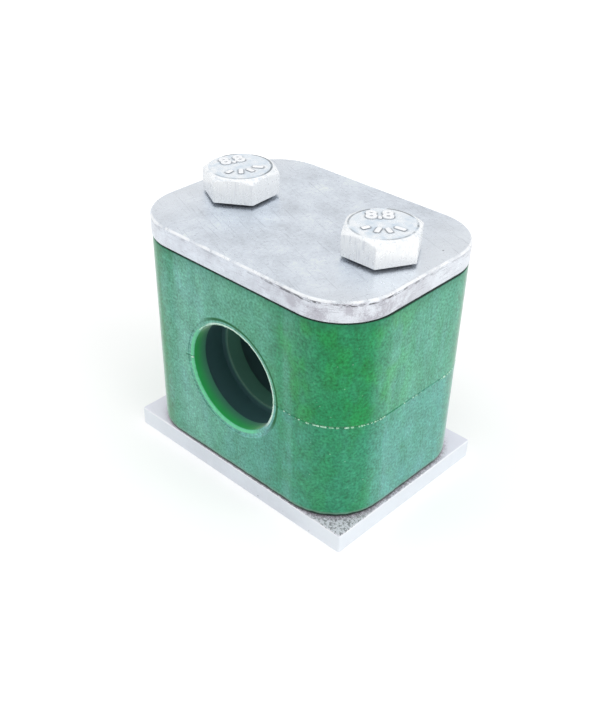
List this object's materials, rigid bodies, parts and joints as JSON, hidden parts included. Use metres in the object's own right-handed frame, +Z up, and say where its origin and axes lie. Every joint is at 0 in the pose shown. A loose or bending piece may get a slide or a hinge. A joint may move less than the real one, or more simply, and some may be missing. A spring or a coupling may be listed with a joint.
{
  "type": "hydraulic tube clamp",
  "caption": "Tube clamp: a split plastic block with a ribbed round bore, bolted between a threaded weld plate and a cover plate.",
  "frame": {"origin": "centre of the weld plate's underside, the face that is welded down", "axes": "+Z up through the stack to the bolt heads, +Y along the tube, +X along the line of the two bolts"},
  "size_m": [0.0426, 0.0302, 0.0418],
  "materials": {
    "weld_plate_steel": "pale galvanised, slightly grained",
    "clamp_plastic": "satin moulded polypropylene, faintly mottled",
    "cover_plate_steel": "pale galvanised, lightly scratched",
    "bolt_zinc": "bright zinc plate"
  },
  "bodies": {
    "base": {"weld_plate": "weld_plate_steel", "lower_clamp_half": "clamp_plastic"},
    "clamp_top": {"upper_clamp_half": "clamp_plastic", "cover_plate": "cover_plate_steel"},
    "left_bolt": {"left_bolt": "bolt_zinc"},
    "right_bolt": {"right_bolt": "bolt_zinc"}
  },
  "joints": [
    {"name": "left_bolt_turn", "type": "hinge", "parent": "clamp_top", "child": "left_bolt", "pos_m": [-0.013, 0, 0.0378], "axis": [0, 0, 1], "range_deg": [0, 1080]},
    {"name": "clamp_top_lift", "type": "slide", "parent": "base", "child": "clamp_top", "axis": [0, 0, 1], "range_m": [0, 0.003]},
    {"name": "right_bolt_turn", "type": "hinge", "parent": "clamp_top", "child": "right_bolt", "pos_m": [0.013, 0, 0.0378], "axis": [0, 0, 1], "range_deg": [0, 1080]}
  ],
  "couplings": [
    {"joint": "left_bolt_turn", "follows": "clamp_top_lift", "rad_per_m": 6283.2},
    {"joint": "right_bolt_turn", "follows": "clamp_top_lift", "rad_per_m": 6283.2}
  ]
}
